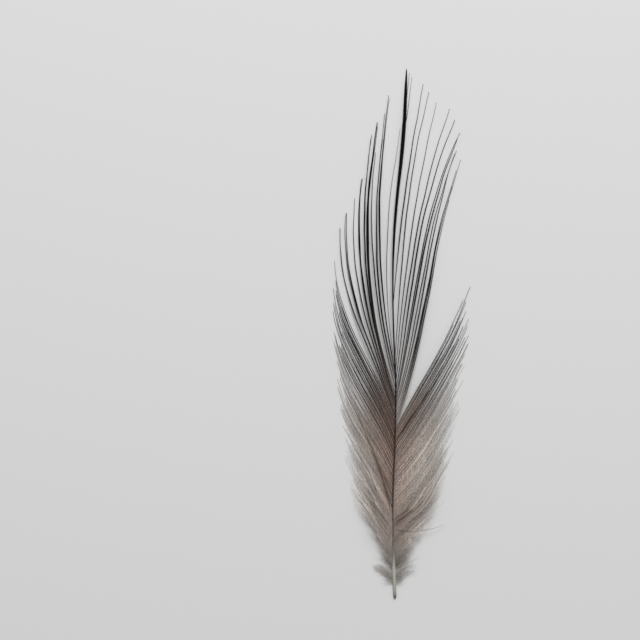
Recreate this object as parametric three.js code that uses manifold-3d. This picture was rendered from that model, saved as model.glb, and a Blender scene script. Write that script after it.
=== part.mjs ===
// A heron's plume lying on its underside: a bare quill, a thin shaft, and two open vanes of long locks.
// Millimetres. +Y runs from the quill to the tip, +Z is up, and z = 0 is the surface that it lies on.
// The origin is under the middle of the outline. It all grew together, so it is one solid.
import * as THREE from "three";
import { mergeVertices } from "three/addons/utils/BufferGeometryUtils.js";
import Module from "manifold-3d";

const wasm = await Module();
wasm.setup();

// Size and place
const LENGTH = 150;
const QUILL_END = new THREE.Vector2(-2.06, -LENGTH / 2);

// The shaft, station by station. Past 85 mm the last barbs lie pressed along it, and its radius holds them.
// Each row: distance from the quill's end, sideways offset, height of the underside, radius
const SHAFT = [
  [0, 0, 0, 0.5],
  [3, -0.08, 0, 0.63],
  [9, -0.22, 0, 0.6],
  [18, -0.45, 0.7, 0.46],
  [30, -0.45, 1.4, 0.33],
  [45, 0.07, 1.9, 0.27],
  [60, 0.15, 2.1, 0.24],
  [80, -0.3, 1.8, 0.26],
  [92, -0.37, 1.4, 0.45],
  [115, 0.8, 0.75, 0.48],
  [130, 2.2, 0.4, 0.44],
  [142, 2.93, 0.12, 0.3],
  [LENGTH, 3.3, 0, 0.05],
];
const [SIDEWAYS, UNDERSIDE, RADIUS] = [1, 2, 3];
const SHAFT_SIDES = 8;
const SHAFT_STEP = 3;

// The vanes, from the down above the quill to the last free lock below the tip.
// Each row: root's distance along the shaft, exit angle from +Y, tip's offset from the quill's end
// to the side and along +Y, angle at the tip, height of the tip. Angles open away from the shaft.
const RIGHT_LOW = [
  [7, 66, 7.5, 11, 60, 4.2],
  [12, 58, 10, 21, 45, 3.4],
  [16, 54, 13.5, 29, 42, 1.5],
  [20, 50, 16.5, 40, 35, 0.3],
  [27, 46, 18.5, 54, 30, 0],
  [34, 41, 20, 66, 27, 0],
  [42, 33, 21.5, 80, 24, 0],
  [48, 28, 21.5, 90, 20, 0],
  [52, 26, 20.8, 98, 14, 0],
];
const RIGHT_HIGH = [
  [53.5, 18, 15.4, 113, 10, 0],
  [56, 17, 16.5, 121, 10, 0],
  [60, 14, 18.2, 130, 14, 0],
  [65, 11, 15.8, 138.6, 18, 0],
  [72, 7, 11.9, 141.2, 12, 0],
  [79, 5, 10, 144.4, 11, 0],
  [86, 4, 8.3, 146.9, 9, 0],
];
const LEFT_LOW = [
  [7, 66, -7, 11, 60, 4.2],
  [12, 54, -9, 20, 42, 3.4],
  [16, 44, -12, 28, 34, 1.5],
  [20, 34, -14, 39, 28, 0.3],
  [27, 26, -15.5, 53, 20, 0],
  [34, 22, -17, 67, 12, 0],
  [42, 19, -17.5, 82, 6, 0],
  [52, 16, -17, 100, 0, 0],
];
const LEFT_HIGH = [
  [53.5, 15, -15.5, 105, -3, 0],
  [60, 11, -8.5, 118, -8, 0],
  [64, 9, -4.3, 136, -12, 0],
  [70, 6, -1.5, 144, -10, 0],
  [78, 4.5, 1.6, 135, -11, 0.9],
];
const [EXIT_ANGLE, TIP_X, TIP_Y, TIP_ANGLE, TIP_Z] = [1, 2, 3, 4, 5];
const LOW_LOCKS = 23;
const HIGH_LOCKS = 12;

// One lock: a flat blade of barbs that lie side by side
const BEND = 0.36;
const ARCH = 0.7;
const BLADE_STEPS = 8;
const BLADE_TILT = THREE.MathUtils.degToRad(14);
const BLADE_THICKNESS = 0.5;
const THIN_SHARE = 0.5;
const WIDEST = 1.5;
const NARROWEST = 0.5;
const ROOT_SHARE = 0.75;
const WIDEST_AT = 0.3;
const TIP_SHARE = 0.3;

// A column of a table at any distance along it, as a smooth curve through its rows.
function read(table, column, at) {
  const slope = (i) => {
    const a = table[Math.max(i - 1, 0)];
    const b = table[Math.min(i + 1, table.length - 1)];
    return (b[column] - a[column]) / (b[0] - a[0]);
  };
  let i = 0;
  while (i < table.length - 2 && table[i + 1][0] < at) i += 1;
  const span = table[i + 1][0] - table[i][0];
  const t = (at - table[i][0]) / span;
  const from = table[i][column] * (1 + 2 * t) * (1 - t) ** 2 + slope(i) * span * t * (1 - t) ** 2;
  const to = table[i + 1][column] * t * t * (3 - 2 * t) - slope(i + 1) * span * t * t * (1 - t);
  return from + to;
}

// The middle of the shaft, and its radius, at a distance from the quill's end.
function shaftAt(along) {
  const radius = read(SHAFT, RADIUS, along);
  const underside = Math.max(0, read(SHAFT, UNDERSIDE, along));
  const flat = radius * Math.cos(Math.PI / SHAFT_SIDES);
  const middle = new THREE.Vector3(
    QUILL_END.x + read(SHAFT, SIDEWAYS, along),
    QUILL_END.y + along,
    underside + flat,
  );
  return { middle, radius };
}

// A closed skin over rings of points, each ring counter-clockwise seen against the way that the rings run.
// A last ring of one point closes it in a tip.
function skin(rings) {
  const points = rings.flat();
  const sides = rings[0].length;
  const faces = [];
  for (let j = 1; j < sides - 1; j += 1) faces.push(0, j + 1, j);
  for (let i = 0; i < rings.length - 1; i += 1) {
    const here = i * sides;
    const next = here + sides;
    for (let j = 0; j < sides; j += 1) {
      const k = (j + 1) % sides;
      if (rings[i + 1].length === 1) {
        faces.push(here + j, here + k, next);
      } else {
        faces.push(here + j, here + k, next + k, here + j, next + k, next + j);
      }
    }
  }
  const last = rings[rings.length - 1];
  const start = points.length - last.length;
  for (let j = 1; j < last.length - 1; j += 1) faces.push(start, start + j, start + j + 1);
  const geometry = new THREE.BufferGeometry().setFromPoints(points);
  geometry.setIndex(faces);
  return geometry;
}

// A closed geometry as a solid that can be joined.
function solid(geometry) {
  const merged = mergeVertices(geometry, 1e-4);
  return new wasm.Manifold(
    new wasm.Mesh({
      numProp: 3,
      vertProperties: new Float32Array(merged.attributes.position.array),
      triVerts: new Uint32Array(merged.index.array),
    }),
  );
}

// The quill and the shaft: eight-sided, with one side down, so that the quill has a flat to lie on.
function shaft() {
  const rings = [];
  const steps = LENGTH / SHAFT_STEP;
  for (let i = 0; i <= steps; i += 1) {
    const { middle, radius } = shaftAt(i * SHAFT_STEP);
    const ring = [];
    for (let j = 0; j < SHAFT_SIDES; j += 1) {
      const turn = -Math.PI / 2 + ((j + 0.5) * 2 * Math.PI) / SHAFT_SIDES;
      ring.push(new THREE.Vector3(-Math.cos(turn) * radius, 0, Math.sin(turn) * radius).add(middle));
    }
    rings.push(ring);
  }
  return skin(rings);
}

// One lock of the vane whose rows are given: a blade along a curve from the shaft to its tip.
function lock(vane, side, root, spacing) {
  const exit = THREE.MathUtils.degToRad(read(vane, EXIT_ANGLE, root));
  const end = THREE.MathUtils.degToRad(read(vane, TIP_ANGLE, root));
  const start = shaftAt(root).middle;
  const tip = new THREE.Vector3(
    QUILL_END.x + read(vane, TIP_X, root),
    QUILL_END.y + read(vane, TIP_Y, root),
    Math.max(0, read(vane, TIP_Z, root)),
  );
  const reach = BEND * Math.hypot(tip.x - start.x, tip.y - start.y);
  const leaving = new THREE.Vector3(side * Math.sin(exit), Math.cos(exit), 0).multiplyScalar(reach);
  const arriving = new THREE.Vector3(side * Math.sin(end), Math.cos(end), 0).multiplyScalar(reach);
  const curve = new THREE.CubicBezierCurve3(
    start,
    start.clone().add(leaving).setZ(start.z + ARCH),
    tip.clone().sub(arriving).setZ(tip.z + ARCH),
    tip,
  );
  const width = THREE.MathUtils.clamp(spacing * Math.sin(exit), NARROWEST, WIDEST);
  const rings = [];
  for (let i = 0; i < BLADE_STEPS; i += 1) {
    const t = i / BLADE_STEPS;
    const middle = curve.getPoint(t);
    const ahead = curve.getTangent(t);
    const across = new THREE.Vector3(ahead.y, -ahead.x, 0).normalize();
    across.multiplyScalar(Math.cos(BLADE_TILT)).setZ(-side * Math.sin(BLADE_TILT));
    const up = new THREE.Vector3().crossVectors(across, ahead);
    const share = t < WIDEST_AT
      ? THREE.MathUtils.lerp(ROOT_SHARE, 1, t / WIDEST_AT)
      : THREE.MathUtils.lerp(1, TIP_SHARE, (t - WIDEST_AT) / (1 - WIDEST_AT));
    const half = (width * share) / 2;
    const deep = (BLADE_THICKNESS * THREE.MathUtils.lerp(THIN_SHARE, 1, share)) / 2;
    rings.push([
      middle.clone().addScaledVector(across, -half),
      middle.clone().addScaledVector(up, deep),
      middle.clone().addScaledVector(across, half),
      middle.clone().addScaledVector(up, -deep),
    ]);
  }
  rings.push([tip]);
  return skin(rings);
}

// A run of locks, evenly spaced along the part of the shaft that its rows cover.
function locks(vane, side, count) {
  const first = vane[0][0];
  const last = vane[vane.length - 1][0];
  const spacing = (last - first) / (count - 1);
  return Array.from({ length: count }, (_, i) => lock(vane, side, first + i * spacing, spacing));
}

// The shaft with every lock joined to it, as one solid.
function feather() {
  const blades = [
    ...locks(RIGHT_LOW, 1, LOW_LOCKS),
    ...locks(RIGHT_HIGH, 1, HIGH_LOCKS),
    ...locks(LEFT_LOW, -1, LOW_LOCKS),
    ...locks(LEFT_HIGH, -1, HIGH_LOCKS),
  ];
  const joined = blades.reduce((whole, blade) => whole.add(solid(blade)), solid(shaft()));
  const mesh = joined.getMesh();
  const geometry = new THREE.BufferGeometry();
  geometry.setAttribute("position", new THREE.BufferAttribute(mesh.vertProperties, 3));
  geometry.setIndex(new THREE.BufferAttribute(mesh.triVerts, 1));
  geometry.computeVertexNormals();
  const keratin = new THREE.MeshStandardMaterial({
    name: "keratin",
    color: "#63574f",
    roughness: 0.6,
    metalness: 0,
    flatShading: true,
  });
  const node = new THREE.Mesh(geometry, keratin);
  node.name = "feather";
  return node;
}

const plume = new THREE.Group();
plume.add(feather());

export default plume;
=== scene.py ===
# The plume's fine form and finish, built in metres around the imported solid.
# +Y runs from the quill to the tip, +Z is up, and z = 0 is the surface that it lies on.
import math

import bpy
import numpy as np
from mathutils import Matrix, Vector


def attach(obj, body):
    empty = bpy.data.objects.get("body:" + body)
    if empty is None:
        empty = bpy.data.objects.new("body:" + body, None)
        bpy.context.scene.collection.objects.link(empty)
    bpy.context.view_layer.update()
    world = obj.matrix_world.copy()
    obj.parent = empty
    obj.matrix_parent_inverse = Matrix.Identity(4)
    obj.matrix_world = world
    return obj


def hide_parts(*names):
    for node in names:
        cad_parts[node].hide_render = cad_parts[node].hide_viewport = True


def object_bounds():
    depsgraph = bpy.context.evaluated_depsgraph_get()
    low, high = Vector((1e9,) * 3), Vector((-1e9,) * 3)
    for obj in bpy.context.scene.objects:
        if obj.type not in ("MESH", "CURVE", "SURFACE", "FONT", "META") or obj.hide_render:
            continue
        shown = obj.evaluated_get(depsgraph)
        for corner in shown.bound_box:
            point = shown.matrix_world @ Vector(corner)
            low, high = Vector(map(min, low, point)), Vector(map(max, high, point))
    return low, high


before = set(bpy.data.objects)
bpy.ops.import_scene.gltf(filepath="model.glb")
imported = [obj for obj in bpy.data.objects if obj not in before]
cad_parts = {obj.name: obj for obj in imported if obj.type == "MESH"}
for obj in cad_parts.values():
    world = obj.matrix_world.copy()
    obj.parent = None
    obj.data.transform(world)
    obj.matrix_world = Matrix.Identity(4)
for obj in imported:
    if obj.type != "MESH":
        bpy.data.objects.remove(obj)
solid_low, solid_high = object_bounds()

# The shaft: a bare round quill, open at its end, that thins into a rachis with a groove below.
# Horn-like keratin, pale and clear at the quill and dark brown to black above the down. It grew in one
# piece with the barbs along its sides.
MM = 0.001
LENGTH = solid_high.y - solid_low.y
# The middle of the quill's end is read off the solid's points that lie within this much of the end
END_SLICE = 0.1 * MM
quill_points = [
    v.co.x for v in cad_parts["feather"].data.vertices if v.co.y < solid_low.y + END_SLICE
]
QUILL_END = (sum(quill_points) / len(quill_points), solid_low.y)
# Each row in mm: distance from the quill's end, sideways offset, height of the middle, radius
SHAFT = [
    [0, 0, 0.40, 0.39],
    [3, -0.12, 0.49, 0.47],
    [7, -0.28, 0.56, 0.54],
    [10, -0.38, 0.62, 0.47],
    [13, -0.48, 0.80, 0.37],
    [18, -0.62, 1.12, 0.28],
    [24, -0.70, 1.42, 0.24],
    [30, -0.62, 1.70, 0.22],
    [36, -0.40, 1.90, 0.22],
    [45, -0.08, 2.15, 0.22],
    [56, 0.13, 2.30, 0.22],
    [62, 0.10, 2.32, 0.22],
    [68, -0.13, 2.26, 0.22],
    [76, -0.48, 2.12, 0.22],
    [90, -0.66, 1.84, 0.21],
    [100, -0.28, 1.58, 0.20],
    [113, 0.64, 1.24, 0.17],
    [124, 1.80, 0.96, 0.13],
    [133, 2.56, 0.72, 0.11],
    [142, 3.00, 0.40, 0.08],
    [150, 3.3, 0.05, 0.03],
]
SIDEWAYS, HEIGHT, RADIUS = 1, 2, 3
SHAFT_RINGS = 200
SHAFT_SIDES = 20
# The groove below: where it starts and is at its deepest in mm, and its depth as a share of the radius
GROOVE_FROM, GROOVE_FULL = 12, 22
GROOVE_DEPTH = 0.35
GROOVE_HALF_ANGLE = math.radians(28)
# The hole in the quill's end and its rounded rim: distance in mm, share of the radius
QUILL_MOUTH = [[1.3, 0.02], [1.2, 0.3], [0.25, 0.42], [0.02, 0.5], [0.0, 0.68], [0.06, 0.88], [0.2, 1.0]]
# Screen colours along the shaft, at distances in mm from the quill's end
HORN_COLOURS = [
    (0, (66, 62, 60)), (0.8, (134, 132, 123)), (2, (166, 165, 154)), (8, (180, 178, 167)),
    (10, (172, 169, 158)), (12, (142, 136, 128)), (15, (116, 107, 100)), (20, (104, 91, 84)),
    (25, (86, 71, 64)), (31, (66, 50, 44)), (44, (62, 45, 39)), (60, (30, 21, 18)), (150, (10, 9, 9)),
]
# Keratin's streaks: the part of their mask's range that counts, and the brightness of horn at its two ends
STREAK_LOW, STREAK_HIGH = 0.3, 0.7
HORN_DARKEST, HORN_PALEST = 0.82, 1.12


def read(rows, column, at):
    """A column of a table at any distance along it, as a smooth curve through its rows."""

    def slope(i):
        a, b = rows[max(i - 1, 0)], rows[min(i + 1, len(rows) - 1)]
        return (b[column] - a[column]) / (b[0] - a[0])

    i = 0
    while i < len(rows) - 2 and rows[i + 1][0] < at:
        i += 1
    span = rows[i + 1][0] - rows[i][0]
    t = (at - rows[i][0]) / span
    start = rows[i][column] * (1 + 2 * t) * (1 - t) ** 2 + slope(i) * span * t * (1 - t) ** 2
    end = rows[i + 1][column] * t * t * (3 - 2 * t) - slope(i + 1) * span * t * t * (1 - t)
    return start + end


def shaft_at(along):
    """The middle of the shaft, in mm from the quill's end, at a distance along it."""
    height = max(read(SHAFT, HEIGHT, along), read(SHAFT, RADIUS, along))
    return np.array([read(SHAFT, SIDEWAYS, along), along, height])


def in_metres(points):
    """Points given in mm from the quill's end, in the frame's own metres."""
    return [(QUILL_END[0] + x * MM, QUILL_END[1] + y * MM, z * MM) for x, y, z in points]


def shaft_ring(along, share=1.0):
    """One ring of the shaft's skin, round at the quill and grooved below further up."""
    middle = shaft_at(along)
    radius = read(SHAFT, RADIUS, along) * share
    groove = GROOVE_DEPTH * min(1.0, max(0.0, (along - GROOVE_FROM) / (GROOVE_FULL - GROOVE_FROM)))
    ring = []
    for i in range(SHAFT_SIDES):
        turn = 2 * math.pi * i / SHAFT_SIDES
        from_below = math.remainder(turn, 2 * math.pi)
        reach = radius * (1 - groove * math.exp(-((from_below / GROOVE_HALF_ANGLE) ** 2)))
        ring.append(middle + reach * np.array([-math.sin(turn), 0, -math.cos(turn)]))
    return ring


def skin(name, rings):
    """A closed mesh over rings of points that run from one end to the other."""
    sides = len(rings[0])
    points = [p for ring in rings for p in ring]
    faces = [tuple(reversed(range(sides)))]
    for i in range(len(rings) - 1):
        for j in range(sides):
            a, b = i * sides + j, i * sides + (j + 1) % sides
            faces.append((a, b, b + sides, a + sides))
    faces.append(tuple(range(len(points) - sides, len(points))))
    mesh = bpy.data.meshes.new(name)
    mesh.from_pydata(in_metres(points), [], faces)
    mesh.shade_smooth()
    return mesh


def show(piece):
    """Makes a piece stand for the solid feather and move with it."""
    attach(piece, "root")
    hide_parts("feather")


def paint(red, green, blue):
    """A colour given in 0 to 255 screen values, in the linear shares that a shader takes."""
    shares = [c / 255 for c in (red, green, blue)]
    return tuple(c / 12.92 if c <= 0.04045 else ((c + 0.055) / 1.055) ** 2.4 for c in shares) + (1.0,)


def node(tree, kind, inputs=None, **settings):
    """A node in a tree: its settings, then its inputs by name or place, linked where given a socket."""
    made = tree.nodes.new(kind)
    for name, value in settings.items():
        setattr(made, name, value)
    for place, value in (inputs or {}).items():
        if isinstance(value, bpy.types.NodeSocket):
            tree.links.new(value, made.inputs[place])
        else:
            made.inputs[place].default_value = value
    return made


def maths(tree, operation, *terms):
    """The result of a Math node."""
    return node(tree, "ShaderNodeMath", dict(enumerate(terms)), operation=operation).outputs[0]


def spread(tree, value, start, end, low=0.0, high=1.0, kind="SMOOTHSTEP"):
    """A value turned from one range to another, and held at its ends."""
    inputs = {0: value, 1: start, 2: end, 3: low, 4: high}
    return node(tree, "ShaderNodeMapRange", inputs, interpolation_type=kind).outputs[0]


def new_material(name, roughness, specular):
    """A material, its tree and its Principled shader."""
    material = bpy.data.materials.new(name)
    material.use_nodes = True
    shader = material.node_tree.nodes["Principled BSDF"]
    shader.inputs["Roughness"].default_value = roughness
    shader.inputs["Specular IOR Level"].default_value = specular
    return material, material.node_tree, shader


def height_group():
    """How far up the feather a point lies, from 0 at the quill's end to 1 at the tip."""
    tree = bpy.data.node_groups.new("height along the feather", "ShaderNodeTree")
    tree.interface.new_socket("Height", in_out="OUTPUT", socket_type="NodeSocketFloat")
    place = node(tree, "ShaderNodeTexCoord").outputs["Object"]
    y = node(tree, "ShaderNodeSeparateXYZ", {0: place}).outputs["Y"]
    node(tree, "NodeGroupOutput", {0: spread(tree, y, QUILL_END[1], QUILL_END[1] + LENGTH, kind="LINEAR")})
    return tree


def grain_group():
    """Keratin's fine streaks: a mask that changes slowly along +Y and fast across it."""
    tree = bpy.data.node_groups.new("keratin grain", "ShaderNodeTree")
    for name, value in (("Across", 9000.0), ("Along", 400.0), ("Detail", 3.0)):
        made = tree.interface.new_socket(name, in_out="INPUT", socket_type="NodeSocketFloat")
        made.default_value = value
    tree.interface.new_socket("Streaks", in_out="OUTPUT", socket_type="NodeSocketFloat")
    given = node(tree, "NodeGroupInput").outputs
    place = node(tree, "ShaderNodeTexCoord").outputs["Object"]
    stretch = node(tree, "ShaderNodeCombineXYZ", {0: given["Across"], 1: given["Along"], 2: given["Across"]})
    scaled = node(tree, "ShaderNodeVectorMath", {0: place, 1: stretch.outputs[0]}, operation="MULTIPLY")
    noise = node(tree, "ShaderNodeTexNoise", {"Vector": scaled.outputs[0], "Detail": given["Detail"]})
    noise.inputs["Scale"].default_value = 1.0
    node(tree, "NodeGroupOutput", {0: noise.outputs["Fac"]})
    return tree


def ramp(tree, stops):
    """Screen colours along the feather: each stop is a distance in mm from the quill's end and a colour."""
    height = node(tree, "ShaderNodeGroup", node_tree=HEIGHT_ALONG).outputs[0]
    made = node(tree, "ShaderNodeValToRGB", {"Fac": height})
    elements = made.color_ramp.elements
    while len(elements) < len(stops):
        elements.new(0.5)
    for element, (distance, colour) in zip(elements, stops):
        element.position = distance * MM / LENGTH
        element.color = paint(*colour)
    return made.outputs["Color"]


HEIGHT_ALONG = height_group()
GRAIN = grain_group()
horn, tree, shader = new_material("horn", roughness=0.42, specular=0.15)
streaks = node(tree, "ShaderNodeGroup", {"Across": 5000.0, "Along": 250.0}, node_tree=GRAIN).outputs[0]
patch = spread(tree, streaks, STREAK_LOW, STREAK_HIGH, HORN_DARKEST, HORN_PALEST, kind="LINEAR")
tinted = node(tree, "ShaderNodeVectorMath", {0: ramp(tree, HORN_COLOURS), "Scale": patch}, operation="SCALE")
tree.links.new(tinted.outputs[0], shader.inputs["Base Color"])
bump = node(tree, "ShaderNodeBump", {"Strength": 0.3, "Distance": 0.02 * MM, "Height": streaks})
tree.links.new(bump.outputs[0], shader.inputs["Normal"])

mouth = [shaft_ring(along, share) for along, share in QUILL_MOUTH]
start, end = QUILL_MOUTH[-1][0], SHAFT[-1][0]
body = [shaft_ring(start + (end - start) * i / SHAFT_RINGS) for i in range(1, SHAFT_RINGS + 1)]
shaft = bpy.data.objects.new("shaft", skin("shaft", mouth + body))
bpy.context.scene.collection.objects.link(shaft)
shaft.data.materials.append(horn)
show(shaft)

# The two vanes: loose barbs that grow from the shaft's sides, gather in locks and carry fine barbules.
# Each is a keratin strand, taupe and downy near the quill, black and bare above, and fixed at its root.
# Each row in mm and degrees: root's distance along the shaft, exit angle from +Y, tip's offset from the
# quill's end to the side and along +Y, angle at the tip, height of the tip. Angles open away from the shaft.
RIGHT_LOW = [
    [7, 66, 7.5, 11, 60, 4.2],
    [12, 58, 10, 21, 45, 3.4],
    [16, 54, 13.5, 29, 42, 1.5],
    [20, 50, 16.5, 40, 35, 0.3],
    [27, 46, 18.5, 54, 30, 0.1],
    [34, 41, 20, 66, 27, 0.1],
    [42, 33, 21.5, 80, 24, 0.1],
    [48, 27, 21.5, 90, 20, 0.1],
]
LEFT_LOW = [
    [7, 66, -7, 11, 60, 4.2],
    [12, 54, -9, 20, 42, 3.4],
    [16, 44, -12, 28, 34, 1.5],
    [20, 34, -14, 39, 28, 0.3],
    [27, 26, -15.5, 53, 20, 0.1],
    [34, 23, -17, 67, 12, 0.1],
    [42, 20, -17.5, 82, 6, 0.1],
    [50, 18, -17.2, 97, 0, 0.1],
]
# Higher up each lock has a row of its own, which ends with its number of barbs and how thick they are.
RIGHT_HIGH = [
    [48.5, 19.2, 15.4, 113.1, 14, 0.1, 1, 0.9],
    [49.6, 19.0, 16.6, 118.0, 17, 0.1, 1, 0.9],
    [50.8, 18.9, 17.9, 122.8, 19, 0.1, 1, 1.1],
    [52.3, 18.5, 18.8, 124.6, 19, 0.1, 1, 0.9],
    [53.9, 17.6, 17.2, 127.0, 18, 0.1, 1, 1.0],
    [55.0, 16.3, 18.2, 128.4, 23, 0.1, 1, 1.1],
    [56.3, 12.6, 17.8, 130.6, 22, 0.1, 1, 1.2],
    [57.5, 12.2, 18.9, 132.7, 26, 0.1, 1, 1.2],
    [59.1, 9.9, 17.1, 136.1, 23, 0.1, 1, 1.3],
    [61.5, 6.8, 15.6, 139.0, 19, 0.1, 1, 1.2],
    [64.2, 4.6, 12.0, 141.0, 13, 0.1, 1, 1.0],
    [68.1, 3.6, 10.0, 144.5, 14, 0.1, 1, 1.0],
    [83.4, 4.5, 8.3, 146.6, 10.5, 0.1, 1, 1.1],
    [120, 1.5, 4.9, 148.2, 4, 0.1, 1, 0.5],
    [126, 1.0, 4.2, 149.7, 3, 0.1, 1, 0.5],
]
LEFT_HIGH = [
    [50.6, 17, -15.5, 105.0, -3, 0.1, 2, 1.1],
    [51.8, 18, -13.8, 109.5, -5, 0.1, 2, 1.2],
    [53.0, 18.5, -11.3, 114.0, -6, 0.1, 1, 1.15],
    [54.2, 18.5, -9.2, 119.5, -8, 0.1, 2, 1.25],
    [55.6, 19, -6.4, 132.0, -9, 0.1, 2, 1.35],
    [56.8, 19.5, -4.6, 136.1, -10, 0.1, 3, 1.35],
    [59.4, 14.5, -5.5, 127.0, -6, 0.1, 1, 1.05],
    [61.8, 15.0, -3.4, 131.0, -7, 0.1, 1, 0.95],
    [62.9, 15.0, -2.6, 139.5, -7, 0.1, 1, 1.15],
    [64.2, 11.6, -1.6, 143.6, -8, 0.1, 2, 1.1],
    [66.4, 9.5, 1.9, 134.7, -10, 0.9, 1, 0.6],
]
# A few dark brown barbs have slipped out of their places and lie over the others.
RIGHT_STRAYS = [
    [19.8, 105, 14.2, 21.1, 65, 0.6, 1, 0.6],
    [20.0, 42, 6.8, 27.2, 56, 2.3, 1, 0.8],
    [20.9, 45, 8.2, 28.4, 52, 2.3, 1, 1.0],
    [21.8, 44, 9.4, 29.8, 50, 2.2, 1, 0.8],
    [44.7, 31.5, 12.2, 62.6, 36, 1.2, 1, 1.4],
]
LEFT_STRAYS = [
    [23.2, 15, -9.4, 49.6, 26, 1.5, 1, 0.7],
    [25.4, 17, -11.0, 54.8, 20, 1.4, 1, 1.1],
    [28.4, 18, -11.9, 57.6, 16, 1.3, 1, 0.9],
]
EXIT_ANGLE, TIP_X, TIP_Y, TIP_ANGLE, TIP_Z, BARBS, WEIGHT = 1, 2, 3, 4, 5, 6, 7
# How far a barb keeps to its angle at either end, as a share of its reach
BEND = 0.36
# How far the barbs arch up in mm: of the plain vane, of the locks above it, and of those out of place
ARCH = 0.7
LOCK_ARCH = 0.1
STRAY_ARCH = 1.6
SHEET_COLUMNS = 28
# Where barbs grow from in mm: how far to the side of the shaft's middle, and how far below it
ROOT_ASIDE, ROOT_BELOW = 0.1, 0.08
# The least height of a barb's tip in mm
LOWEST_TIP = 0.1
# The most barbs that a lock can hold, how far in mm barbules reach over the shaft's middle, and how far
# from it the pale fluff is at its palest
MANY = 99
OVER_SHAFT = 0.4
FROST_FULL = 9
# How the barbs change up the shaft. Each row: root's distance, barbules' length in mm, the share of the
# barb that they cover (over 1, they are still long at its tip), the share of the barb by which its lock
# has gathered, how pale its outer part is, how thick the barb is
HABIT = [
    [5, 1.7, 2.4, 1.2, 0.6, 0.35],
    [14, 1.5, 1.3, 1.1, 0.6, 0.4],
    [22, 1.5, 1.1, 1.0, 0.65, 0.6],
    [32, 1.35, 0.95, 0.85, 0.45, 0.85],
    [42, 1.1, 0.65, 0.5, 0.05, 1.1],
    [52, 0.9, 0.45, 0.3, 0, 1.1],
    [60, 0.7, 0.35, 0.2, 0, 1.0],
    [70, 0.5, 0.2, 0.15, 0, 1.0],
    [90, 0.4, 0.12, 0.12, 0, 1.0],
    [130, 0.2, 0.1, 0.1, 0, 1.0],
]
FLUFF, FLUFFY_SHARE, GATHERED_BY, FROSTED, THICKNESS = 1, 2, 3, 4, 5
# Barbules are at their full length over this share of the part that they cover
LONG_OVER = 0.3
# How dark and brown the barbs are, by their root's distance along the shaft in mm
RIGHT_SHADE = [
    [5, 0.1], [9, 0.3], [13, 0.3], [17, 0.45], [20, 0.45], [25, 0.25], [30, 0.05], [40, 0.1], [54, 0.2],
    [150, 0.2],
]
LEFT_SHADE = [
    [5, 0.1], [14, 0.1], [20, 0.1], [23, 0.1], [25, 0.25], [28, 0.3], [36, 0.55], [46, 0.6], [56, 0.35],
    [150, 0.2],
]
STRAY_SHADE = [[5, 0.9], [150, 0.9]]
SHADE = 1
# Screen colours of the barbs and of their barbules, at distances in mm from the quill's end, and of the
# palest fluff
BARB_COLOURS = [
    (0, (166, 162, 158)), (14, (146, 139, 133)), (26, (114, 94, 83)), (42, (98, 79, 69)),
    (52, (84, 70, 63)), (62, (62, 54, 51)), (74, (38, 34, 33)), (86, (18, 16, 16)), (98, (9, 8, 9)),
    (150, (7, 6, 7)),
]
BARBULE_COLOURS = [
    (0, (222, 219, 215)), (14, (206, 199, 194)), (26, (204, 187, 176)), (42, (204, 188, 177)),
    (54, (172, 159, 151)), (66, (134, 126, 122)), (80, (84, 80, 78)), (98, (30, 29, 29)), (150, (14, 13, 14)),
]
FROST_COLOUR = (218, 215, 210)
# What the brownest strand's colour is multiplied by
BROWNEST = (0.5, 0.42, 0.38, 1.0)
# The part of the strands' range of tones that counts, and the brightness at the two ends of a streak
TONE_LOW, TONE_HIGH = 0.15, 0.85
STRAND_DARKEST, STRAND_PALEST = 0.88, 1.12
# What the barbs' tree takes, with the values of a plain vane: lengths in metres, and otherwise counts,
# shares and plain numbers
VANE_INPUTS = {
    "Locks": ("NodeSocketInt", 56),
    "Barbs per Lock": ("NodeSocketInt", 1),
    "Seed": ("NodeSocketInt", 1),
    "Steps": ("NodeSocketInt", 32),
    "Unevenness": ("NodeSocketFloat", 0.35),
    "Closeness": ("NodeSocketFloat", 0.0),
    "Fan": ("NodeSocketFloat", 0.8),
    "Shortest": ("NodeSocketFloat", 0.7),
    "Thinning": ("NodeSocketFloat", 0.7),
    "Wander": ("NodeSocketFloat", 0.5 * MM),
    "Lift": ("NodeSocketFloat", 0.3 * MM),
    "Root Radius": ("NodeSocketFloat", 0.08 * MM),
    "Full Radius": ("NodeSocketFloat", 0.1 * MM),
    "Tip Radius": ("NodeSocketFloat", 0.03 * MM),
    "Barbule Width": ("NodeSocketFloat", 0.045),
    "Barbule Steps": ("NodeSocketInt", 1),
    "Barbule Curl": ("NodeSocketFloat", 0.0),
    "Barbule Gap": ("NodeSocketFloat", 0.04 * MM),
    "Barbule Lean": ("NodeSocketFloat", 0.6),
    "Barbule Fall": ("NodeSocketFloat", 0.25),
    "Barbule Rise": ("NodeSocketFloat", 0.0),
    "Barb Material": ("NodeSocketMaterial", None),
    "Barbule Material": ("NodeSocketMaterial", None),
}
# Values that only the tree needs, which are cleared from the finished mesh
WORKING_VALUES = ("middle", "aside", "fan", "grown", "close", "reach", "lift", "along", "fluff", "weight")
# How near its edge, as a share of its width, the sheet can still be read
SHEET_EDGE = 0.002
# How loosely and how closely locks gather, as shares of the closeness given
LOOSEST, CLOSEST = 0.55, 1.2
# The barbs' sway: how fast it changes over the feather, and how far apart in metres it is read for the
# first and last tone, so that neighbours sway apart
SWAY_SCALE = 55.0
SWAY_APART = 0.02
# Where along a barb its sway and its lift are in full, and its least height as a share of its full radius
SWAY_FULL, LIFT_FULL = 0.8, 0.5
LOWEST_RADII = 1.2
# The barbs' number of sides, where along them they have swollen and start to taper, and how thin and
# thick they come
BARB_SIDES = 6
SWOLLEN_BY, TAPERS_FROM = 0.3, 0.5
THINNEST, THICKEST = 0.75, 1.2
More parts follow.
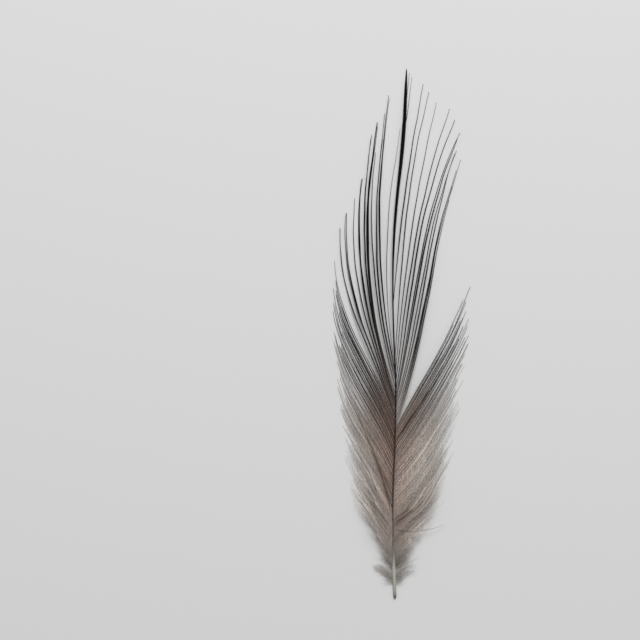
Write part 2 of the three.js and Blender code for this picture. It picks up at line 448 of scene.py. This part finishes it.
# The barbules: how much their lean and their length differ, as shares, and in metres the least length
# that is grown and their least height
LEAN_LEAST, LEAN_MOST = 0.5, 1.5
LENGTH_LEAST, LENGTH_MOST = 0.55, 1.15
SHORTEST_BARBULE = 0.2 * MM
LOWEST_BARBULE = 0.02 * MM


def smooth_step(value):
    """A share that leaves 0 and reaches 1 gently."""
    value = min(1.0, max(0.0, value))
    return value * value * (3 - 2 * value)


def bezier(start, leaving, arriving, tip, count):
    """Points along a cubic curve."""
    t = np.linspace(0, 1, count)[:, None]
    return ((1 - t) ** 3 * start + 3 * (1 - t) ** 2 * t * leaving
            + 3 * (1 - t) * t * t * arriving + t ** 3 * tip)


def barb_line(rows, side, root, arch):
    """The middle line of the barbs that are rooted at a distance along the shaft, in mm."""
    leave, arrive = (math.radians(read(rows, column, root)) for column in (EXIT_ANGLE, TIP_ANGLE))
    start = shaft_at(root) + [side * ROOT_ASIDE, 0, -ROOT_BELOW]
    tip_height = max(LOWEST_TIP, read(rows, TIP_Z, root))
    tip = np.array([read(rows, TIP_X, root), read(rows, TIP_Y, root), tip_height])
    reach = BEND * math.hypot(*(tip - start)[:2])
    leaving = start + [side * math.sin(leave) * reach, math.cos(leave) * reach, arch]
    arriving = tip - [side * math.sin(arrive) * reach, math.cos(arrive) * reach, -arch]
    return bezier(start, leaving, arriving, tip, SHEET_COLUMNS)


def sheet(name, lines, roots, shade, barbs=MANY, weights=1.0, over=OVER_SHAFT):
    """The curved sheet that barbs lie on, from one line of points for each root.

    On its points, "lay" holds its two directions, "fluff" the barbules' length, "gather" how far
    the locks have closed, "shade" how dark the barbs are, "frost" how pale, "barbs" the most that
    a lock holds, and "weight" how thick they are.
    """
    mesh = bpy.data.meshes.new(name)
    across = len(lines[0])
    faces = [
        (i * across + j, i * across + j + 1, (i + 1) * across + j + 1, (i + 1) * across + j)
        for i in range(len(lines) - 1) for j in range(across - 1)
    ]
    mesh.from_pydata(in_metres([p for line in lines for p in line]), [], faces)
    barbs, weights = (np.broadcast_to(given, len(roots)) for given in (barbs, weights))
    lay, values = [], {key: [] for key in ("fluff", "gather", "shade", "frost", "barbs", "weight")}
    for i, root in enumerate(roots):
        for j, out in enumerate(np.linspace(0, 1, across)):
            x, y, _ = lines[i][j]
            from_shaft = abs(x - read(SHAFT, SIDEWAYS, min(y, SHAFT[-1][0])))
            bare = smooth_step((out / read(HABIT, FLUFFY_SHARE, root) - LONG_OVER) / (1 - LONG_OVER))
            fluff = min(read(HABIT, FLUFF, root) * (1 - bare), from_shaft + over)
            lay += [i / (len(roots) - 1), out, 0]
            values["fluff"].append(max(0, fluff) * MM)
            values["gather"].append(smooth_step(out / read(HABIT, GATHERED_BY, root)))
            values["shade"].append(read(shade, SHADE, root))
            values["frost"].append(read(HABIT, FROSTED, root) * smooth_step(from_shaft / FROST_FULL))
            values["barbs"].append(barbs[i])
            values["weight"].append(weights[i])
    mesh.attributes.new("lay", "FLOAT_VECTOR", "POINT").data.foreach_set("vector", lay)
    for key, numbers in values.items():
        mesh.attributes.new(key, "FLOAT", "POINT").data.foreach_set("value", numbers)
    return mesh


def vane_sheet(name, side, rows, shade, arch=ARCH, over=OVER_SHAFT):
    """The sheet of one run of a vane, with a line of points for every step of shaft that it covers."""
    first, last = rows[0][0], rows[-1][0]
    roots = np.linspace(first, last, round(last - first) + 1)
    lines = [barb_line(rows, side, root, arch) for root in roots]
    weights = [read(HABIT, THICKNESS, root) for root in roots]
    return sheet(name, lines, roots, shade, weights=weights, over=over)


def lock_sheet(name, side, rows, shade, arch=LOCK_ARCH):
    """The sheet of a run of a vane in which each row is one lock."""
    lines = [barb_line(rows, side, row[0], arch) for row in rows]
    barbs, weights = ([row[column] for row in rows] for column in (BARBS, WEIGHT))
    return sheet(name, lines, [row[0] for row in rows], shade, barbs, weights)


def at_random(tree, low, high, seed, number):
    """A random value for each numbered thing."""
    inputs = {2: low, 3: high, "ID": number, "Seed": seed}
    return node(tree, "FunctionNodeRandomValue", inputs, data_type="FLOAT").outputs[1]


def keep(tree, geometry, name, value):
    """Stores a value on each point of a geometry."""
    inputs = {"Geometry": geometry, "Name": name, "Value": value}
    return node(tree, "GeometryNodeStoreNamedAttribute", inputs, data_type="FLOAT", domain="POINT").outputs[0]


def kept(tree, name, kind="FLOAT"):
    """A value that was stored on the points."""
    return node(tree, "GeometryNodeInputNamedAttribute", {"Name": name}, data_type=kind).outputs[0]


def vector(tree, x=0.0, y=0.0, z=0.0):
    """A vector from its three parts."""
    return node(tree, "ShaderNodeCombineXYZ", {0: x, 1: y, 2: z}).outputs[0]


def vectors(tree, operation, *terms, **named):
    """The result of a Vector Math node."""
    inputs = {**dict(enumerate(terms)), **named}
    return node(tree, "ShaderNodeVectorMath", inputs, operation=operation).outputs[0]


def sample(tree, given, wanted, value, kind):
    """A value of the sheet at a place given by its two directions."""
    inputs = {"Mesh": given["Geometry"], "Value": value, "UV Map": kept(tree, "lay", "FLOAT_VECTOR"),
              "Sample UV": wanted}
    return node(tree, "GeometryNodeSampleUVSurface", inputs, data_type=kind).outputs[0]


def held(tree, value):
    """A place on the sheet kept just inside its edges, where it can still be read."""
    return node(tree, "ShaderNodeClamp", {0: value, 1: SHEET_EDGE, 2: 1 - SHEET_EDGE}).outputs[0]


def joined(tree, geometries):
    """Several geometries as one."""
    made = tree.nodes.new("GeometryNodeJoinGeometry")
    for geometry in geometries:
        tree.links.new(geometry, made.inputs[0])
    return made.outputs[0]


def barb_roots(tree, given):
    """One point for each barb, which holds where it starts, how far it reaches, its lift and its tone."""
    number = node(tree, "GeometryNodeInputIndex").outputs[0]
    per_lock = given["Barbs per Lock"]
    lock = maths(tree, "FLOOR", maths(tree, "DIVIDE", number, per_lock))
    place = maths(tree, "MODULO", number, per_lock)
    gaps = maths(tree, "SUBTRACT", given["Locks"], 1.0)

    def own(low, high, step):
        """A random value of each barb's own. Each use has a step of its own from the seed."""
        return at_random(tree, low, high, maths(tree, "ADD", given["Seed"], step), number)

    def shared(low, high, step):
        """A random value that the barbs of a lock share."""
        return at_random(tree, low, high, maths(tree, "ADD", given["Seed"], step), lock)

    moved = maths(tree, "MULTIPLY", given["Unevenness"], shared(-1.0, 1.0, 100.0))
    middle = maths(tree, "DIVIDE", maths(tree, "ADD", lock, moved), gaps)
    most = sample(tree, given, vector(tree, held(tree, middle), 0.5), kept(tree, "barbs"), "FLOAT")
    most = maths(tree, "MINIMUM", maths(tree, "ROUND", most), per_lock)
    within = maths(tree, "DIVIDE", maths(tree, "ADD", place, 0.5), most)
    moved = maths(tree, "MULTIPLY", given["Unevenness"], own(-0.5, 0.5, 0.0))
    aside = maths(tree, "ADD", maths(tree, "SUBTRACT", within, 0.5), moved)
    fan = maths(tree, "MULTIPLY", given["Fan"], shared(-1.0, 1.0, 101.0))
    longer = maths(tree, "POWER", own(0.0, 1.0, 1.0), given["Thinning"])
    values = {
        "middle": middle,
        "aside": maths(tree, "DIVIDE", aside, gaps),
        "fan": maths(tree, "DIVIDE", fan, gaps),
        "grown": maths(tree, "LESS_THAN", place, most),
        "close": maths(tree, "MULTIPLY", given["Closeness"], shared(LOOSEST, CLOSEST, 102.0)),
        "reach": spread(tree, longer, 0.0, 1.0, given["Shortest"], 1.0, kind="LINEAR"),
        "lift": own(-1.0, 1.0, 2.0),
        "tone": maths(tree, "ADD", own(0.0, 0.5, 3.0), shared(0.0, 0.5, 103.0)),
    }
    count = maths(tree, "MULTIPLY", given["Locks"], per_lock)
    roots = node(tree, "GeometryNodePoints", {"Count": count}).outputs[0]
    for name, value in values.items():
        roots = keep(tree, roots, name, value)
    return roots


def barb_paths(tree, given):
    """The barbs' middle lines: each runs over the sheet and gathers with the others of its lock."""
    line = node(tree, "GeometryNodeCurvePrimitiveLine").outputs[0]
    line = node(tree, "GeometryNodeResampleCurve", {"Curve": line, "Count": given["Steps"]}).outputs[0]
    inputs = {"Points": barb_roots(tree, given), "Selection": kept(tree, "grown"), "Instance": line}
    lines = node(tree, "GeometryNodeInstanceOnPoints", inputs).outputs[0]
    lines = node(tree, "GeometryNodeRealizeInstances", {"Geometry": lines}).outputs[0]
    factor = node(tree, "GeometryNodeSplineParameter").outputs["Factor"]
    lines = keep(tree, lines, "along", maths(tree, "MULTIPLY", factor, kept(tree, "reach")))

    along = kept(tree, "along")
    out = held(tree, along)
    root = held(tree, maths(tree, "ADD", kept(tree, "middle"), kept(tree, "aside")))
    gather = sample(tree, given, vector(tree, root, out), kept(tree, "gather"), "FLOAT")
    apart = maths(tree, "SUBTRACT", 1.0, maths(tree, "MULTIPLY", kept(tree, "close"), gather))
    across = maths(tree, "ADD", kept(tree, "middle"), maths(tree, "MULTIPLY", kept(tree, "aside"), apart))
    across = maths(tree, "ADD", across, maths(tree, "MULTIPLY", kept(tree, "fan"), along))
    wanted = vector(tree, held(tree, across), out)
    place = sample(tree, given, wanted, node(tree, "GeometryNodeInputPosition").outputs[0], "FLOAT_VECTOR")
    for name in ("fluff", "shade", "frost", "weight"):
        lines = keep(tree, lines, name, sample(tree, given, wanted, kept(tree, name), "FLOAT"))

    where = vectors(tree, "ADD", place, vector(tree, maths(tree, "MULTIPLY", kept(tree, "tone"), SWAY_APART)))
    noise = {"Vector": where, "Scale": SWAY_SCALE, "Detail": 1.0}
    sway = node(tree, "ShaderNodeTexNoise", noise, normalize=False).outputs["Color"]
    loose = maths(tree, "MULTIPLY", given["Wander"], spread(tree, along, 0.0, SWAY_FULL))
    place = vectors(tree, "ADD", place, vectors(tree, "SCALE", sway, Scale=loose))
    x, y, z = node(tree, "ShaderNodeSeparateXYZ", {0: place}).outputs
    raised = maths(tree, "MULTIPLY", kept(tree, "lift"), given["Lift"])
    raised = maths(tree, "MULTIPLY", raised, spread(tree, along, 0.0, LIFT_FULL))
    lowest = maths(tree, "MULTIPLY", given["Full Radius"], LOWEST_RADII)
    z = maths(tree, "MAXIMUM", maths(tree, "ADD", z, raised), lowest)
    placed = {"Geometry": lines, "Position": vector(tree, x, y, z)}
    return node(tree, "GeometryNodeSetPosition", placed).outputs[0]


def one_barbule(tree, given):
    """A thin spike, one metre long along +Y before it is scaled, that curls to one side."""
    spike = node(
        tree, "GeometryNodeMeshCone",
        {"Vertices": 3, "Side Segments": given["Barbule Steps"], "Radius Top": 0.0,
         "Radius Bottom": maths(tree, "MULTIPLY", given["Barbule Width"], 0.5), "Depth": 1.0},
        fill_type="NGON",
    ).outputs[0]
    turned = {"Geometry": spike, "Rotation": vector(tree, -math.pi / 2)}
    spike = node(tree, "GeometryNodeTransform", turned).outputs[0]
    place = node(tree, "GeometryNodeInputPosition").outputs[0]
    far = node(tree, "ShaderNodeSeparateXYZ", {0: place}).outputs["Y"]
    bend = maths(tree, "MULTIPLY", maths(tree, "MULTIPLY", far, far), given["Barbule Curl"])
    moved = {"Geometry": spike, "Offset": vector(tree, bend)}
    return node(tree, "GeometryNodeSetPosition", moved).outputs[0]


def barbules(tree, given, paths):
    """Spikes along the barbs, which lean forwards and out to either side, each turned by chance."""
    inputs = {"Curve": paths, "Length": given["Barbule Gap"]}
    feet = node(tree, "GeometryNodeCurveToPoints", inputs, mode="LENGTH").outputs
    number = node(tree, "GeometryNodeInputIndex").outputs[0]
    aside = vectors(tree, "NORMALIZE", vectors(tree, "CROSS_PRODUCT", feet["Tangent"], (0.0, 0.0, 1.0)))
    way = maths(tree, "SIGN", at_random(tree, -1.0, 1.0, 11, number))
    lean = at_random(tree, LEAN_LEAST, LEAN_MOST, 12, number)
    lean = maths(tree, "MULTIPLY", given["Barbule Lean"], lean)
    fall = maths(tree, "SUBTRACT", 0.0, given["Barbule Fall"])
    rise = at_random(tree, fall, given["Barbule Rise"], 13, number)
    ahead = vectors(tree, "SCALE", aside, Scale=maths(tree, "MULTIPLY", way, lean))
    ahead = vectors(tree, "ADD", vectors(tree, "ADD", feet["Tangent"], ahead), vector(tree, z=rise))
    roll = vector(tree, at_random(tree, -1.0, 1.0, 14, number), at_random(tree, -1.0, 1.0, 15, number), 0.5)
    turn = node(
        tree, "FunctionNodeAxesToRotation", {"Primary Axis": ahead, "Secondary Axis": roll},
        primary_axis="Y", secondary_axis="Z",
    ).outputs[0]
    fluff = kept(tree, "fluff")
    size = maths(tree, "MULTIPLY", fluff, at_random(tree, LENGTH_LEAST, LENGTH_MOST, 16, number))
    tone = maths(tree, "ADD", kept(tree, "tone"), at_random(tree, 0.0, 1.0, 17, number))
    feet = keep(tree, feet["Points"], "tone", maths(tree, "MULTIPLY", tone, 0.5))
    hairs = node(
        tree, "GeometryNodeInstanceOnPoints",
        {"Points": feet, "Selection": maths(tree, "GREATER_THAN", fluff, SHORTEST_BARBULE),
         "Instance": one_barbule(tree, given), "Rotation": turn, "Scale": size},
    ).outputs[0]
    hairs = node(tree, "GeometryNodeRealizeInstances", {"Geometry": hairs}).outputs[0]
    place = node(tree, "GeometryNodeInputPosition").outputs[0]
    x, y, z = node(tree, "ShaderNodeSeparateXYZ", {0: place}).outputs
    z = maths(tree, "MAXIMUM", z, LOWEST_BARBULE)
    placed = {"Geometry": hairs, "Position": vector(tree, x, y, z)}
    hairs = node(tree, "GeometryNodeSetPosition", placed).outputs[0]
    inputs = {"Geometry": hairs, "Material": given["Barbule Material"]}
    return node(tree, "GeometryNodeSetMaterial", inputs).outputs[0]


def vane_tree():
    """The tree that grows barbs and their barbules over a sheet."""
    tree = bpy.data.node_groups.new("vane", "GeometryNodeTree")
    tree.interface.new_socket("Geometry", in_out="INPUT", socket_type="NodeSocketGeometry")
    for name, (kind, value) in VANE_INPUTS.items():
        made = tree.interface.new_socket(name, in_out="INPUT", socket_type=kind)
        if value is not None:
            made.default_value = value
    tree.interface.new_socket("Geometry", in_out="OUTPUT", socket_type="NodeSocketGeometry")
    given = node(tree, "NodeGroupInput").outputs
    paths = barb_paths(tree, given)
    along, tone = kept(tree, "along"), kept(tree, "tone")
    ring = {"Resolution": BARB_SIDES, "Radius": 1.0}
    ring = node(tree, "GeometryNodeCurvePrimitiveCircle", ring).outputs[0]
    root, full, tip = given["Root Radius"], given["Full Radius"], given["Tip Radius"]
    swell = spread(tree, along, 0.0, SWOLLEN_BY, root, full, kind="LINEAR")
    taper = spread(tree, along, TAPERS_FROM, 1.0, full, tip, kind="LINEAR")
    thick = maths(tree, "MINIMUM", swell, taper)
    thick = maths(tree, "MULTIPLY", thick, spread(tree, tone, 0.0, 1.0, THINNEST, THICKEST, kind="LINEAR"))
    thick = maths(tree, "MULTIPLY", thick, kept(tree, "weight"))
    inputs = {"Curve": paths, "Profile Curve": ring, "Scale": thick, "Fill Caps": True}
    barbs = node(tree, "GeometryNodeCurveToMesh", inputs).outputs[0]
    inputs = {"Geometry": barbs, "Material": given["Barb Material"]}
    barbs = node(tree, "GeometryNodeSetMaterial", inputs).outputs[0]
    node(tree, "NodeGroupOutput", {0: joined(tree, [barbs, barbules(tree, given, paths)])})
    return tree


def grow(name, base, tree, **values):
    """The plain mesh that a tree grows from a base mesh, as a piece in the scene."""
    piece = bpy.data.objects.new(name, base)
    bpy.context.scene.collection.objects.link(piece)
    modifier = piece.modifiers.new(tree.name, "NODES")
    modifier.node_group = tree
    for item in tree.interface.items_tree:
        if item.in_out == "INPUT" and item.name in values:
            modifier[item.identifier] = values[item.name]
    graph = bpy.context.evaluated_depsgraph_get()
    mesh = bpy.data.meshes.new_from_object(
        piece.evaluated_get(graph), preserve_all_data_layers=True, depsgraph=graph
    )
    piece.modifiers.remove(modifier)
    piece.data = mesh
    mesh.name = name
    bpy.data.meshes.remove(base)
    for key in WORKING_VALUES:
        if key in mesh.attributes:
            mesh.attributes.remove(mesh.attributes[key])
    if None in list(mesh.materials):
        mesh.materials.pop(index=list(mesh.materials).index(None))
    return piece


def mixed(tree, factor, first, second):
    """Two colours mixed by a mask."""
    inputs = {"Factor": factor, "A": first, "B": second}
    return node(tree, "ShaderNodeMix", inputs, data_type="RGBA").outputs["Result"]


def strand_material(name, stops, roughness, specular, contrast):
    """Keratin strands: coloured by height up the feather, browner, paler or darker strand by strand."""
    material, tree, shader = new_material(name, roughness, specular)
    tone, shade, frost = (
        node(tree, "ShaderNodeAttribute", attribute_name=name).outputs["Fac"]
        for name in ("tone", "shade", "frost")
    )
    streaks = node(tree, "ShaderNodeGroup", {"Across": 2500.0, "Along": 300.0}, node_tree=GRAIN).outputs[0]
    own = spread(tree, tone, TONE_LOW, TONE_HIGH, 1.0 / contrast, contrast, kind="LINEAR")
    patch = spread(tree, streaks, STREAK_LOW, STREAK_HIGH, STRAND_DARKEST, STRAND_PALEST, kind="LINEAR")
    frosted = mixed(tree, frost, ramp(tree, stops), paint(*FROST_COLOUR))
    browned = vectors(tree, "MULTIPLY", frosted, mixed(tree, shade, (1.0, 1.0, 1.0, 1.0), BROWNEST))
    tinted = vectors(tree, "SCALE", browned, Scale=maths(tree, "MULTIPLY", own, patch))
    tree.links.new(tinted, shader.inputs["Base Color"])
    bump = node(tree, "ShaderNodeBump", {"Strength": 0.25, "Distance": 0.01 * MM, "Height": streaks})
    tree.links.new(bump.outputs[0], shader.inputs["Normal"])
    return material


VANE = vane_tree()
# Where the web starts in mm along the shaft, above the first roots of the down
WEB_FROM = 16
# The first seed of the web, of the locks above it and of the barbs out of place
LOW_SEED, HIGH_SEED, STRAY_SEED = 1, 3, 5
barb_keratin = strand_material("barb_keratin", BARB_COLOURS, roughness=0.6, specular=0.06, contrast=1.85)
barbule_keratin = strand_material(
    "barbule_keratin", BARBULE_COLOURS, roughness=0.75, specular=0.05, contrast=1.4
)
KERATIN = {"Barb Material": barb_keratin, "Barbule Material": barbule_keratin}
LOW_RUN = {**{name: value for name, (_, value) in VANE_INPUTS.items()}, **KERATIN}
HIGH_RUN = {
    **LOW_RUN,
    "Barbs per Lock": 3,
    "Steps": 48,
    "Unevenness": 0.0,
    "Closeness": 0.85,
    "Fan": 0.0,
    "Shortest": 0.97,
    "Wander": 0.4 * MM,
    "Root Radius": 0.07 * MM,
    "Full Radius": 0.15 * MM,
    "Tip Radius": 0.04 * MM,
    "Barbule Gap": 0.07 * MM,
    "Barbule Lean": 0.45,
}
for seed, (name, side, rows, shade) in enumerate((
    ("right", 1, RIGHT_LOW, RIGHT_SHADE), ("left", -1, LEFT_LOW, LEFT_SHADE),
)):
    rows = [row for row in rows if WEB_FROM <= row[0]]
    base = vane_sheet(name + "_low", side, rows, shade)
    show(grow("vane_" + name + "_low", base, VANE, **{**LOW_RUN, "Seed": LOW_SEED + seed}))
for seed, (name, side, rows, shade) in enumerate((
    ("right", 1, RIGHT_HIGH, RIGHT_SHADE), ("left", -1, LEFT_HIGH, LEFT_SHADE),
)):
    base = lock_sheet(name + "_high", side, rows, shade)
    values = {**HIGH_RUN, "Seed": HIGH_SEED + seed, "Locks": len(rows)}
    show(grow("vane_" + name + "_high", base, VANE, **values))
STRAY_RUN = {**HIGH_RUN, "Barbs per Lock": 1, "Full Radius": 0.13 * MM, "Barbule Gap": 0.25 * MM}
for seed, (name, side, rows) in enumerate((("right", 1, RIGHT_STRAYS), ("left", -1, LEFT_STRAYS))):
    base = lock_sheet(name + "_strays", side, rows, STRAY_SHADE, STRAY_ARCH)
    values = {**STRAY_RUN, "Seed": STRAY_SEED + seed, "Locks": len(rows)}
    show(grow("strays_" + name, base, VANE, **values))

# The spine: the last barbs before the tip, which don't open but lie pressed along both sides of the shaft.
# They are black keratin strands, fixed at their roots, and they end one after another up to the tip.
# Each side: which way it faces, its first and last root along the shaft in mm, and its number of locks
PRESSED_SIDES = {"right": (1, 97, 144, 26), "left": (-1, 80, 144, 36)}
PRESSED_SEED = 20
# The longest that such a barb is in mm, and how far short of the tip it ends for each mm that its root
# lies before the last one
PRESSED_LENGTH = 40
SHORT_OF_TIP = 0.04
# Half the spine's width in mm, at distances along the shaft
SPINE_WIDTH = [
    [74, 0.24], [80, 0.36], [90, 0.60], [101, 0.72], [113, 0.58], [124, 0.54],
    [133, 0.54], [138, 0.50], [144, 0.36], [147.5, 0.20], [150, 0.04],
]
HALF_WIDTH = 1
# How far towards the spine's edge the first lock moves, and how that share steps from each to the next
LEAST_OUT, OUT_STEP = 0.3, 0.618
PRESSED_RUN = {
    **HIGH_RUN,
    "Barbs per Lock": 2,
    "Steps": 30,
    "Closeness": 0.2,
    "Wander": 0.08 * MM,
    "Lift": 0.14 * MM,
    "Root Radius": 0.09 * MM,
    "Full Radius": 0.1 * MM,
    "Tip Radius": 0.05 * MM,
    "Barbule Gap": 0.4 * MM,
    "Barbule Lean": 0.2,
}


def pressed_line(side, root, last, number):
    """The line of a barb that lies along the shaft and moves out to its own place within the spine."""
    end = min(root + PRESSED_LENGTH, LENGTH / MM - SHORT_OF_TIP * (last - root))
    share_out = LEAST_OUT + (1 - LEAST_OUT) * (number * OUT_STEP % 1)
    line = []
    for share in np.linspace(0, 1, SHEET_COLUMNS):
        along = root + (end - root) * share
        out = share_out * read(SPINE_WIDTH, HALF_WIDTH, along) * math.sin(share * math.pi / 2)
        line.append(shaft_at(along) + [side * out, 0, 0])
    return line


for seed, (name, (side, first, last, count)) in enumerate(PRESSED_SIDES.items()):
    roots = np.linspace(first, last, count)
    lines = [pressed_line(side, root, last, number) for number, root in enumerate(roots)]
    base = sheet("pressed_" + name, lines, roots, RIGHT_SHADE)
    values = {**PRESSED_RUN, "Seed": PRESSED_SEED + seed, "Locks": count}
    show(grow("spine_" + name, base, VANE, **values))

# The down: the first barbs above the bare quill, soft and short, with long loose barbules that curl.
# Pale grey keratin, raised up to 4.4 mm off the surface by their own fluff, and fixed at their roots.
DOWN_SEED = 30
# How far up the shaft in mm the loose barbs over the down are rooted
LOOSE_TO = 20
# Each part of it: which way it faces, its number of locks, the barbs in each, its barbules' width as a
# share of their length, how high it arches in mm, and its rows
DOWN_PARTS = {
    "right": (1, 21, 6, 0.028, 1.5, [
        [8.6, 52, 4.8, 12.0, 60, 1.2],
        [9.6, 48, 6.8, 15.6, 52, 1.4],
        [12, 46, 10.0, 23.0, 44, 1.2],
        [16, 42, 12.4, 31, 36, 1.0],
        [20, 36, 11.5, 38, 30, 1.0],
    ]),
    "left": (-1, 29, 6, 0.028, 1.5, [
        [8.6, 40, -4.0, 13.4, 40, 1.2],
        [9.6, 36, -5.6, 17.8, 38, 1.4],
        [12, 35, -8.4, 24.0, 36, 1.4],
        [16, 32, -10.4, 31, 30, 1.2],
        [20, 28, -10.5, 38, 26, 1.0],
        [23, 26, -10.2, 42.6, 24, 0.8],
    ]),
    # The two low parts are thin grey down that lies almost flat beside the quill. They are partly real down
    # and partly a painted shadow: they stand for the soft shadow that the raised down casts there
    "low_right_shade_tuft": (1, 14, 1, 0.022, 1.0, [
        [4.1, 70, 5.0, 5.6, 76, 0.4],
        [6.8, 58, 6.2, 10.6, 64, 0.8],
    ]),
    "low_left_shade_tuft": (-1, 16, 1, 0.022, 1.0, [
        [4.1, 70, -6.4, 6.2, 70, 0.3],
        [6.6, 58, -7.6, 10.2, 60, 0.5],
    ]),
    "loose_right": (1, 22, 1, 0.02, 0.1, [row for row in RIGHT_LOW if row[0] <= LOOSE_TO]),
    "loose_left": (-1, 22, 1, 0.02, 0.1, [row for row in LEFT_LOW if row[0] <= LOOSE_TO]),
}
# How far in mm the down's barbules cross the shaft
DOWN_OVER_SHAFT = 1.3
DOWN_BARB_COLOURS = [
    (0, (132, 127, 121)), (12, (118, 112, 106)), (20, (140, 127, 118)), (40, (150, 134, 124)),
]
DOWN_BARBULE_COLOURS = [
    (0, (176, 172, 167)), (12, (180, 174, 169)), (20, (208, 196, 187)), (40, (214, 200, 190)),
]
down_barbs = strand_material("down_barbs", DOWN_BARB_COLOURS, roughness=0.7, specular=0.1, contrast=2.0)
down_fluff = strand_material("down_fluff", DOWN_BARBULE_COLOURS, roughness=0.8, specular=0.05, contrast=1.5)
DOWN_RUN = {
    **LOW_RUN,
    "Steps": 18,
    "Closeness": 0.25,
    "Fan": 1.8,
    "Shortest": 0.25,
    "Thinning": 1.7,
    "Wander": 1.6 * MM,
    "Lift": 0.5 * MM,
    "Root Radius": 0.1 * MM,
    "Full Radius": 0.12 * MM,
    "Tip Radius": 0.04 * MM,
    "Barbule Steps": 2,
    "Barbule Curl": 0.3,
    "Barbule Gap": 0.14 * MM,
    "Barbule Lean": 0.8,
    "Barbule Fall": 0.2,
    "Barbule Rise": 0.35,
    "Barb Material": down_barbs,
    "Barbule Material": down_fluff,
}
for seed, (name, (side, locks, barbs, width, arch, rows)) in enumerate(DOWN_PARTS.items()):
    shade = RIGHT_SHADE if side == 1 else LEFT_SHADE
    base = vane_sheet("down_" + name, side, rows, shade, arch, DOWN_OVER_SHAFT)
    values = {"Locks": locks, "Barbs per Lock": barbs, "Barbule Width": width}
    values = {**DOWN_RUN, **values, "Seed": DOWN_SEED + seed}
    show(grow("down_" + name, base, VANE, **values))

# The stage: a plain sheet of pale paper under a soft light from beyond the tip, and a camera that looks
# straight down. None of it is part of the feather.
# The square picture's side, the feather's length and the place of the quill's end, all in pixels
PIXELS = 640
FEATHER_PIXELS = 528.5
QUILL_PIXEL = (394.9, 597.5)
MM_PER_PIXEL = SHAFT[-1][0] / FEATHER_PIXELS
# The camera's lens and the width of its sensor in mm
LENS, SENSOR = 100, 36
FLOOR_COLOUR = (217, 217, 217)
# How far the floor reaches from the origin each way, in metres
FLOOR_REACH = 3
ROOM_LIGHT = 0.42
view_width = PIXELS * MM_PER_PIXEL * MM
view_middle = (
    QUILL_END[0] + (PIXELS / 2 - QUILL_PIXEL[0]) * MM_PER_PIXEL * MM,
    QUILL_END[1] + (QUILL_PIXEL[1] - PIXELS / 2) * MM_PER_PIXEL * MM,
)

floor_mesh = bpy.data.meshes.new("floor")
corners = [(x * FLOOR_REACH, y * FLOOR_REACH, 0) for x, y in ((-1, -1), (1, -1), (1, 1), (-1, 1))]
floor_mesh.from_pydata(corners, [], [(0, 1, 2, 3)])
paper, _, shader = new_material("paper", roughness=0.9, specular=0.1)
shader.inputs["Base Color"].default_value = paint(*FLOOR_COLOUR)
floor_mesh.materials.append(paper)
floor = bpy.data.objects.new("floor", floor_mesh)
bpy.context.scene.collection.objects.link(floor)

world = bpy.data.worlds.new("room")
world.use_nodes = True
world.node_tree.nodes["Background"].inputs["Color"].default_value = (1.0, 1.0, 1.0, 1.0)
world.node_tree.nodes["Background"].inputs["Strength"].default_value = ROOM_LIGHT
bpy.context.scene.world = world

# A soft square light that faces the feather: its place and its side in metres, and its power in watts
WINDOW_PLACE = (0.1, 0.95, 0.98)
WINDOW_SIDE = 0.6
WINDOW_POWER = 15.0
light = bpy.data.lights.new("window", "AREA")
light.size = WINDOW_SIDE
light.energy = WINDOW_POWER
lamp = bpy.data.objects.new("window", light)
lamp.location = WINDOW_PLACE
lamp.rotation_mode = "QUATERNION"
lamp.rotation_quaternion = Vector(-np.array(WINDOW_PLACE)).to_track_quat("-Z", "Y")
bpy.context.scene.collection.objects.link(lamp)

camera_data = bpy.data.cameras.new("camera")
camera_data.lens = LENS
camera_data.sensor_width = SENSOR
camera = bpy.data.objects.new("camera", camera_data)
camera.location = (view_middle[0], view_middle[1], view_width * LENS / SENSOR)
bpy.context.scene.collection.objects.link(camera)
bpy.context.scene.camera = camera
bpy.context.scene.view_settings.view_transform = "Standard"
